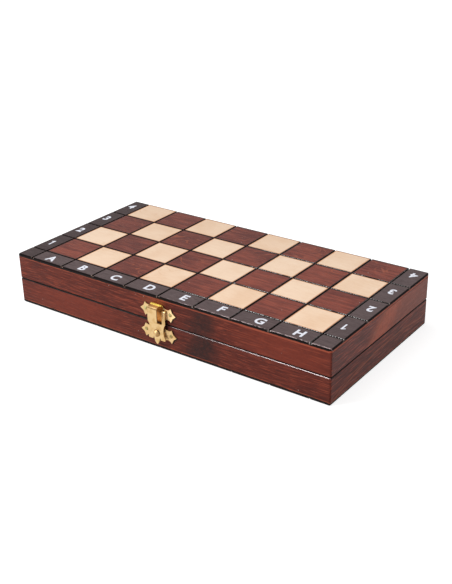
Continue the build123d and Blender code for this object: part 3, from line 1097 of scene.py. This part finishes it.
@dataclass
class Metalwork:
    """Latch, hinges and pins with the broken edges of pressed and turned metal, and slotted hinge screws.

    Lengths are in millimetres. Shares of a screw are of its head's radius, shank's radius or length.
    """

    finishes: Finishes
    edge_width: float = 0.14
    nail_edge: float = 0.05
    edge_steps: int = 2
    bevel_degrees: float = 35.0
    crease_degrees: float = 28.0
    weld_distance: float = 0.001
    flat_degrees: float = 1.0
    # Brown on the lower right flanks of heads is painted shade; on cut walls it is tarnish and painted shade.
    head_shade_from: dict[str, float] = field(
        default_factory=lambda: {"latch_rivet": 0.12, "latch_base_nails": 0.04, "catch_plate_nails": 0.04}
    )
    head_shade_side: Triple = (0.9, 0.0, -0.3)
    head_shade_span: float = 2.5
    wall_darkening_from: float = 0.45
    wall_darkening_span: float = 0.3
    darkening_strength: float = 0.65
    screw_y: float = 63.0
    screw_xs: tuple[float, ...] = (-91.5, -72.5, 72.5, 91.5)
    screw_sizes: dict[str, float] = field(default_factory=lambda: {
        "Head Radius": 1.6, "Head Depth": 0.8, "Shank Radius": 0.78, "Length": 9.0,
        "Slot Width": 0.42, "Slot Depth": 0.4, "Thread Radius": 0.14,
    })
    thread_turns: float = 7.0
    thread_taper: Span = (0.45, 0.94)
    thread_share: float = 0.74
    thread_depth: float = 0.94
    tip_share: float = 0.3
    bar_share: float = 2.4
    parting_gap: float = 0.3
    plate_thickness: float = 0.7
    # Offset and thickness of the dark film that paints each plate's shadow on the wood.
    shadow_film_offset: Spot = (0.95, 0.3)
    shadow_film_thickness: float = 0.03
    face_tolerance: float = 0.02
    seed: int = 7

    @staticmethod
    def pieces() -> dict[str, Body]:
        """The metal nodes that get broken edges.

        Returns:
            The body of each node.
        """
        found = {"catch_plate": Body.LID, "latch_base_plate": Body.BASE, "hasp_fork": Body.HASP}
        found["latch_rivet"] = found["latch_base_nails"] = Body.BASE
        found["catch_plate_nails"] = Body.LID
        for side in ("left", "right"):
            for body in (Body.BASE, Body.LID):
                found[f"{body.value}_hinge_leaf_{side}"] = body
        return found

    @staticmethod
    def settle(piece: Piece) -> None:
        """Turn a piece with modifiers into a plain mesh without them.

        Args:
            piece: The piece to change.
        """
        mesh = worked_out(piece)
        piece.modifiers.clear()
        piece.data = mesh

    def soften(self, node: str, body: Body) -> None:
        """Replace one CAD piece by a merged copy with narrow bevels along its sharp edges.

        Args:
            node: The CAD node.
            body: The body that it rides on.
        """
        is_nail = node.endswith("nails")
        merged = bmesh.new()
        merged.from_mesh(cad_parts[node].data)
        flat = math.radians(self.flat_degrees)
        bmesh.ops.remove_doubles(merged, verts=merged.verts, dist=self.weld_distance * MM)
        bmesh.ops.dissolve_limit(merged, angle_limit=flat, verts=merged.verts, edges=merged.edges)
        piece = shown_shape(f"{node}_softened", merged)
        bevel = piece.modifiers.new("broken_edges", "BEVEL")
        bevel.width = (self.nail_edge if is_nail else self.edge_width) * MM
        bevel.segments = self.edge_steps
        bevel.limit_method = "ANGLE"
        bevel.angle_limit = math.radians(self.bevel_degrees)
        bevel.use_clamp_overlap = True
        self.settle(piece)
        piece.data.shade_smooth()
        piece.data.set_sharp_from_angle(angle=math.radians(self.crease_degrees))
        self.darken_flanks_and_walls(piece.data, self.head_shade_from.get(node))
        brass = self.finishes.catch_brass if node == "catch_plate" else self.finishes.brass
        material = self.finishes.nail if is_nail else brass
        hand_over(piece, material, body, node)

    def darken_flanks_and_walls(self, mesh: Mesh, limit: float | None) -> None:
        """Keep on each face how much brown it gets: painted shade on the lower right flank of a head, and on
        the steep side walls both tarnish and painted shade.

        Args:
            mesh: The piece's mesh.
            limit: Slope from which the lower right flank of a head gets painted shade, or None to darken cut
                walls.
        """
        shade_and_stain = mesh.attributes.new(SHADE_AND_STAIN, "FLOAT", "FACE")
        side = Vector(self.head_shade_side)
        for face in mesh.polygons:
            if limit is not None:
                share = (face.normal.dot(side) - limit) / (self.head_shade_span * limit)
            else:
                share = (abs(face.normal.x) - self.wall_darkening_from) / self.wall_darkening_span
            shade_and_stain.data[face.index].value = self.darkening_strength * min(max(share, 0.0), 1.0)

    @staticmethod
    def cone(sides: int, top: Term, bottom: Term, depth: Term) -> Term:
        """Cone that stands on the origin, in a Geometry Nodes tree."""
        inputs = {"Vertices": sides, "Radius Top": top, "Radius Bottom": bottom, "Depth": depth}
        return top.graph.add("GeometryNodeMeshCone", inputs, "Mesh")

    @staticmethod
    def sunk(part: Term, depth: Term) -> Term:
        """A part of a screw, moved down along the screw's axis."""
        down = part.graph.join(0.0, 0.0, depth * -1.0)
        return part.graph.add("GeometryNodeTransform", {"Geometry": part, "Translation": down})

    def screw_tree(self) -> Tree:
        """Geometry Nodes tree that sets a slotted, threaded screw on each point.

        Returns:
            The tree, with named inputs for the sizes of a screw.
        """
        tree = bpy.data.node_groups.new("slotted_screws", "GeometryNodeTree")
        kinds = {"Geometry": "Geometry", "Turn Over": "Vector", "Seed": "Int", "Finish": "Material"}
        for name, kind in kinds.items():
            tree.interface.new_socket(name, in_out="INPUT", socket_type=f"NodeSocket{kind}")
        sizes = {name: size * MM for name, size in self.screw_sizes.items()}
        for name, size in {**sizes, "Threads": self.thread_turns}.items():
            socket = tree.interface.new_socket(name, in_out="INPUT", socket_type="NodeSocketFloat")
            socket.default_value = size
        tree.interface.new_socket("Geometry", in_out="OUTPUT", socket_type="NodeSocketGeometry")
        graph = Graph(tree)
        given = graph.outputs("NodeGroupInput")
        head_radius, head_depth = given["Head Radius"], given["Head Depth"]
        shank_radius, length = given["Shank Radius"], given["Length"]
        bar = graph.join(head_radius * self.bar_share, given["Slot Width"], given["Slot Depth"] * 2.0)
        cut = {
            "Mesh 1": self.sunk(self.cone(40, head_radius, shank_radius, head_depth), head_depth),
            "Mesh 2": graph.add("GeometryNodeMeshCube", {"Size": bar}, "Mesh"),
        }
        head = graph.add("GeometryNodeMeshBoolean", cut, "Mesh", operation="DIFFERENCE", solver="EXACT")
        shank = self.cone(24, shank_radius, shank_radius * self.tip_share, length - head_depth * 0.5)
        narrow, wide = [shank_radius * share for share in self.thread_taper]
        spiral = graph.add("GeometryNodeCurveSpiral", {
            "Resolution": 16, "Rotations": given["Threads"], "Start Radius": narrow, "End Radius": wide,
            "Height": length * self.thread_share,
        }, "Curve")
        ring = {"Resolution": 4, "Radius": given["Thread Radius"]}
        profile = graph.add("GeometryNodeCurvePrimitiveCircle", ring, "Curve")
        path = {"Curve": spiral, "Profile Curve": profile, "Fill Caps": True}
        thread = graph.add("GeometryNodeCurveToMesh", path, "Mesh")
        screw = graph.put("GeometryNodeJoinGeometry", {})
        for part in (head, self.sunk(shank, length), self.sunk(thread, length * self.thread_depth)):
            graph.feed(screw.inputs[0], part)
        turns = {0: (0.0, 0.0, 0.0), 1: (0.0, 0.0, math.pi), "Seed": given["Seed"]}
        placed = graph.add("GeometryNodeInstanceOnPoints", {
            "Points": given["Geometry"], "Instance": Term(graph, screw.outputs[0]),
            "Rotation": given["Turn Over"],
        })
        turn = graph.add("FunctionNodeRandomValue", turns, data_type="FLOAT_VECTOR")
        turned = graph.add("GeometryNodeRotateInstances", {"Instances": placed, "Rotation": turn})
        plain = graph.add("GeometryNodeRealizeInstances", {"Geometry": turned})
        dressed = graph.add("GeometryNodeSetMaterial", {"Geometry": plain, "Material": given["Finish"]})
        graph.put("NodeGroupOutput", {0: dressed})
        return tree

    def screws(self, tree: Tree, body: Body) -> None:
        """Set the four hinge screws of one half.

        Args:
            tree: The screws' Geometry Nodes tree.
            body: The half that holds them.
        """
        is_base = body is Body.BASE
        height = PLAN.middle_height + (-0.5 if is_base else 0.5) * self.parting_gap
        mesh = bpy.data.meshes.new(f"{body.value}_screws")
        mesh.from_pydata([Vector((x, self.screw_y, height)) * MM for x in self.screw_xs], [], [])
        piece = shown(f"{body.value}_slotted_screws", mesh)
        modifier = piece.modifiers.new("screws", "NODES")
        modifier.node_group = tree
        names = {item.name: item.identifier for item in tree.interface.items_tree if item.in_out == "INPUT"}
        modifier[names["Turn Over"]] = (0.0 if is_base else math.pi, 0.0, 0.0)
        modifier[names["Seed"]] = self.seed + len(body.value)
        modifier[names["Finish"]] = self.finishes.brass
        self.settle(piece)
        hand_over(piece, self.finishes.brass, body, f"{body.value}_hinge_screws")

    def lay_shadow_film(self, node: str, body: Body) -> None:
        """Lay a dark film on the wood, a little beyond the lower right edges of a plate, as a painted shadow
        of the plate.

        Args:
            node: The plate's CAD node.
            body: The body that it rides on.
        """
        film = bmesh.new()
        film.from_mesh(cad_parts[node].data)
        front = (PLAN.front_edge - self.plate_thickness) * MM
        near = self.face_tolerance * MM
        rest = [face for face in film.faces if abs(face.calc_center_median().y - front) >= near]
        bmesh.ops.delete(film, geom=rest, context="FACES")
        across, down = self.shadow_film_offset
        lift = Vector((across, self.plate_thickness - self.shadow_film_thickness, -down)) * MM
        bmesh.ops.translate(film, verts=film.verts, vec=lift)
        hand_over(shown_shape(f"{node}_grime", film), self.finishes.shadow_film, body)

    def build(self) -> None:
        """Soften the sheet metal, lay the painted shadow films and set the screws."""
        for node, body in self.pieces().items():
            self.soften(node, body)
        self.lay_shadow_film("catch_plate", Body.LID)
        self.lay_shadow_film("latch_base_plate", Body.BASE)
        tree = self.screw_tree()
        for body in (Body.BASE, Body.LID):
            self.screws(tree, body)


@dataclass
class Marks:
    """Letters and numerals printed on the border, in millimetres."""

    finishes: Finishes
    cap_height: float = 7.6
    font_cap_share: float = 0.729
    embolden: float = 0.032
    thickness: float = 0.03
    proud: float = 0.015
    letter_places: tuple[Spot, ...] = (
        (-106.0, -61.0), (-74.6, -60.7), (-43.7, -60.5), (-12.7, -59.9),
        (17.2, -59.5), (48.2, -59.5), (78.3, -59.9), (107.9, -60.1),
    )
    left_places: tuple[Spot, ...] = ((-129.0, -38.6), (-128.3, -6.6), (-128.5, 24.1), (-128.9, 55.4))
    right_places: tuple[Spot, ...] = ((127.2, -37.4), (128.2, -5.9), (127.8, 25.2), (128.2, 57.0))
    numeral_one: tuple[Spot, ...] = (
        (0.13, -0.5), (0.13, 0.5), (0.0, 0.5), (-0.27, 0.31), (-0.2, 0.18), (-0.03, 0.29), (-0.03, -0.5)
    )

    def outline_curve(self, character: str) -> bpy.types.Curve:
        """Flat curve of one character, at the size that is printed.

        Args:
            character: The letter or numeral.

        Returns:
            A text curve, or the drawn outline of a one with its flag.
        """
        if character == "1":
            curve = bpy.data.curves.new("glyph_1", "CURVE")
            curve.dimensions = "2D"
            curve.fill_mode = "BOTH"
            spline = curve.splines.new("POLY")
            spline.points.add(len(self.numeral_one) - 1)
            for point, (x, y) in zip(spline.points, self.numeral_one):
                point.co = (x * self.cap_height * MM, y * self.cap_height * MM, 0.0, 1.0)
            spline.use_cyclic_u = True
            return curve
        curve = bpy.data.curves.new(f"glyph_{character}", "FONT")
        curve.body = character
        curve.size = self.cap_height / self.font_cap_share * MM
        curve.offset = self.embolden * curve.size
        return curve

    def glyph(self, character: str) -> Mesh:
        """One character as a thin solid, centred at the origin and facing up.

        Args:
            character: The letter or numeral.

        Returns:
            Its mesh, in metres.
        """
        curve = self.outline_curve(character)
        curve.extrude = self.thickness * MM / 2
        holder = shown("glyph_holder", curve)
        mesh = worked_out(holder)
        bpy.data.objects.remove(holder)
        xs = [vertex.co.x for vertex in mesh.vertices]
        ys = [vertex.co.y for vertex in mesh.vertices]
        mesh.transform(Matrix.Translation((-(min(xs) + max(xs)) / 2, -(min(ys) + max(ys)) / 2, 0)))
        return mesh

    def print_marks(self, name: str, marks: list[tuple[str, float, float, float]], body: Body) -> None:
        """Join marks into one piece on a playing face.

        Args:
            name: The piece's name.
            marks: Character, x, y and turn in degrees, as seen from above the closed board.
            body: The half that carries them.
        """
        sunk = self.thickness / 2 - self.proud
        height, tilt = (sunk, math.pi) if body is Body.BASE else (PLAN.height - sunk, 0.0)
        joined = bmesh.new()
        for character, x, y, turn in marks:
            mesh = self.glyph(character)
            mesh.transform(Matrix.Rotation(math.radians(turn), 4, "Z") @ Matrix.Rotation(tilt, 4, "X"))
            mesh.transform(Matrix.Translation(Vector((x, y, height)) * MM))
            joined.from_mesh(mesh)
            bpy.data.meshes.remove(mesh)
        hand_over(shown_shape(name, joined), self.finishes.paint, body)

    def build(self) -> None:
        """Print the letters and numerals of both halves."""
        top = []
        bottom = []
        for letter, (x, y) in zip("ABCDEFGH", self.letter_places):
            top.append((letter, x, y, 0.0))
            bottom.append((letter, x, y, 180.0))
        for rank, (left, right) in enumerate(zip(self.left_places, self.right_places)):
            for marks, numeral in ((top, str(1 + rank)), (bottom, str(8 - rank))):
                marks.append((numeral, *left, 0.0))
                marks.append((numeral, *right, 180.0))
        self.print_marks("lid_marks", top, Body.LID)
        self.print_marks("base_marks", bottom, Body.BASE)


@dataclass
class Lining:
    """Baize sheet glued into one half, slightly uneven and soft at its edges, in millimetres."""

    finishes: Finishes
    body: Body
    columns: int = 120
    rows: int = 56
    ripple: float = 0.08
    ripple_rates: Triple = (0.11, 0.17, 0.043)
    ripple_phases: Span = (1.3, 2.1)
    edge_reach: float = 1.5
    edge_drop: float = 0.45

    def sink(self, x: float, y: float, to_edge: float) -> float:
        """Depth of the nap below the sheet's full thickness.

        Args:
            x: Place along the front.
            y: Place from front to rear.
            to_edge: Distance from the sheet's nearest edge.

        Returns:
            The depth.
        """
        fine_x, fine_y, broad_x = self.ripple_rates
        fine_phase, broad_phase = self.ripple_phases
        fine = math.sin(x * fine_x) * math.sin(y * fine_y + fine_phase)
        wave = fine + 0.5 * math.sin(x * broad_x + broad_phase)
        roll = min(1.0, to_edge / self.edge_reach) ** 0.5
        return (1.0 - roll) * self.edge_drop + (1.0 + wave) * 0.5 * self.ripple

    def rank(self, face: bmesh.types.BMFace) -> int:
        """Place of a face in the mesh by its corners, because extruding puts the walls in any order.

        Args:
            face: A face of the sheet.

        Returns:
            A number that no other face of the sheet has.
        """
        corners = [vertex.index for vertex in face.verts]
        most_vertices = 2 * (self.columns + 1) * (self.rows + 1)
        return min(corners) * most_vertices + max(corners)

    def build(self) -> None:
        """Make the sheet where the plain lining lies."""
        node = f"{self.body.value}_lining"
        low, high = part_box(node)
        is_base = self.body is Body.BASE
        glued, top = (low.z, high.z) if is_base else (high.z, low.z)
        toward_glue = -1.0 if is_base else 1.0
        size = high - low
        middle = (high + low) / 2
        sheet = bmesh.new()
        bmesh.ops.create_grid(sheet, x_segments=self.columns, y_segments=self.rows, size=0.5)
        for vertex in sheet.verts:
            x = middle.x + vertex.co.x * size.x
            y = middle.y + vertex.co.y * size.y
            to_edge = min(x - low.x, high.x - x, y - low.y, high.y - y)
            vertex.co = (x, y, top + toward_glue * self.sink(x / MM, y / MM, to_edge / MM) * MM)
        bmesh.ops.recalc_face_normals(sheet, faces=sheet.faces)
        for face in sheet.faces:
            face.smooth = True
        nap = list(sheet.faces)
        if (nap[0].normal.z > 0) != is_base:
            bmesh.ops.reverse_faces(sheet, faces=nap)
        walls = bmesh.ops.extrude_face_region(sheet, geom=nap, use_keep_orig=True)
        for element in walls["geom"]:
            if isinstance(element, bmesh.types.BMVert):
                element.co.z = glued
        bmesh.ops.recalc_face_normals(sheet, faces=sheet.faces)
        sheet.verts.index_update()
        sheet.faces.sort(key=self.rank)
        piece = shown_shape(f"{self.body.value}_baize", sheet)
        hand_over(piece, self.finishes.baize, self.body, node)
        log.info("%s covers %.0f x %.0f mm", piece.name, size.x / MM, size.y / MM)


@dataclass(frozen=True)
class Softbox:
    """Square soft light that faces the board, in metres and watts."""

    name: str
    place: Triple
    side: float
    power: float

    def build(self) -> None:
        """Hang the light."""
        data = bpy.data.lights.new(self.name, "AREA")
        data.size = self.side
        data.energy = self.power
        light = bpy.data.objects.new(self.name, data)
        light.location = self.place
        light.rotation_euler = Vector(self.place).to_track_quat("Z", "Y").to_euler()
        bpy.context.scene.collection.objects.link(light)


@dataclass(frozen=True)
class Studio:
    """Floor, soft light and the camera, in metres and degrees."""

    camera_place: Triple = (0.38412, -0.51239, 0.31806)
    azimuth: float = 36.301
    elevation: float = 25.233
    roll: float = -1.165
    lens_mm: float = 59.39
    sensor_mm: float = 36.0
    near_clip: float = 0.01
    ambient: float = 0.44
    floor_tone: float = 0.5
    floor_roughness: float = 0.9
    floor_glow: float = 0.78
    floor_half_side: float = 6.0
    floor_drop: float = 0.00002
    lights: tuple[Softbox, ...] = (
        Softbox("top_light", (-0.5, -0.3, 1.5), 1.2, 8.1),
        Softbox("edge_light", (-0.738, -0.88, 1.253), 0.44, 13.0),
    )

    def camera(self) -> None:
        """Camera at the photograph's viewing angle."""
        azimuth = math.radians(self.azimuth)
        elevation = math.radians(self.elevation)
        flat = math.cos(elevation)
        back = Vector((math.sin(azimuth) * flat, -math.cos(azimuth) * flat, math.sin(elevation)))
        turn = back.to_track_quat("Z", "Y").to_matrix() @ Matrix.Rotation(math.radians(self.roll), 3, "Z")
        data = bpy.data.cameras.new("camera")
        data.lens = self.lens_mm
        data.sensor_width = self.sensor_mm
        data.clip_start = self.near_clip
        camera = bpy.data.objects.new("camera", data)
        camera.matrix_world = Matrix.Translation(self.camera_place) @ turn.to_4x4()
        bpy.context.scene.collection.objects.link(camera)
        bpy.context.scene.camera = camera

    @staticmethod
    def seen_directly(graph: Graph) -> Term:
        """Mask of the rays that show a surface to the camera, also in a mirror or through glass."""
        seen = graph.outputs("ShaderNodeLightPath")
        return seen["Is Camera Ray"].larger(seen["Is Glossy Ray"]).larger(seen["Is Transmission Ray"])

    def floor(self) -> None:
        """Pale floor that is white to the camera and keeps the board's shadow."""
        sheet = bmesh.new()
        bmesh.ops.create_grid(sheet, x_segments=1, y_segments=1, size=self.floor_half_side)
        bmesh.ops.translate(sheet, verts=sheet.verts, vec=(0, 0, -self.floor_drop))
        floor = shown_shape("floor", sheet)
        material = bpy.data.materials.new("floor_paper")
        material.use_nodes = True
        graph = Graph(material.node_tree)
        paper = {
            "Base Color": (self.floor_tone,) * 3,
            "Roughness": self.floor_roughness,
            "Specular IOR Level": 0.0,
            "Emission Color": (1.0, 1.0, 1.0),
            "Emission Strength": self.seen_directly(graph) * self.floor_glow,
        }
        for name, value in paper.items():
            graph.feed(material.node_tree.nodes["Principled BSDF"].inputs[name], value)
        floor.data.materials.append(material)

    def world(self) -> None:
        """Even white surroundings, dimmer for the light that they shed."""
        world = bpy.data.worlds.new("studio")
        world.use_nodes = True
        bpy.context.scene.world = world
        graph = Graph(world.node_tree)
        background = world.node_tree.nodes["Background"].inputs
        graph.feed(background["Color"], (1.0, 1.0, 1.0))
        graph.feed(background["Strength"], self.seen_directly(graph).spread(self.ambient, 1.0))

    def build(self) -> None:
        """Set the whole studio up."""
        self.camera()
        self.world()
        self.floor()
        for light in self.lights:
            light.build()
        bpy.context.scene.view_settings.view_transform = "Standard"
        log.info("the studio is set")


def main() -> None:
    """Dress the board and set up the studio."""
    logging.basicConfig(level=logging.INFO, format="%(message)s")
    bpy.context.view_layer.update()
    Studio().build()
    finishes = Finishes()
    CasePieces(finishes).dress()
    Metalwork(finishes).build()
    Marks(finishes).build()
    for body in (Body.BASE, Body.LID):
        Lining(finishes, body).build()


if __name__ == "__main__":
    main()
